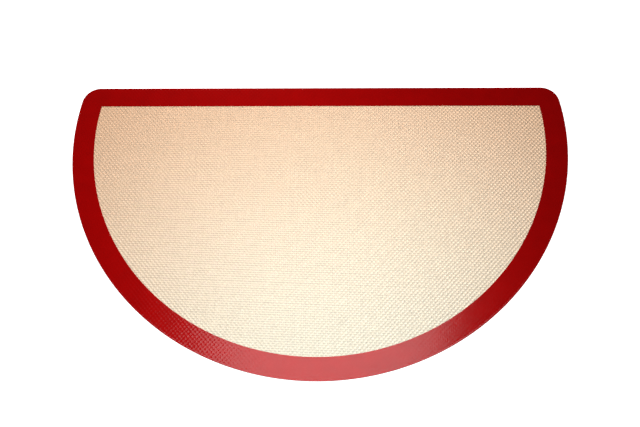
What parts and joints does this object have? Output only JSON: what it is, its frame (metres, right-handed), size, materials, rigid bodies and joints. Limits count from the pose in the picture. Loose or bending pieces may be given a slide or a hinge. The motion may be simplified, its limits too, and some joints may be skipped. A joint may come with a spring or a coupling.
{
  "type": "silicone baking mat",
  "caption": "Half-moon non-stick baking mat of glass-fibre cloth in clear silicone, with a red silicone border and a sealed rim.",
  "frame": {"origin": "middle of the bounding box, on the plane that the mat lies on", "axes": "+X along the straight edge, +Y towards the straight edge, +Z out of the side that holds the food"},
  "size_m": [0.38, 0.231, 0.0009],
  "materials": {
    "glass_cloth": "woven glass-fibre yarns",
    "clear_silicone": "translucent, satin, with the weave showing through",
    "red_silicone": "opaque, satin"
  },
  "bodies": {
    "root": {"glass_fibre_cloth": "glass_cloth", "bottom_silicone_coat": "clear_silicone", "top_silicone_coat": "clear_silicone", "bottom_border_band": "red_silicone", "top_border_band": "red_silicone", "edge_seal": "red_silicone"}
  },
  "joints": []
}
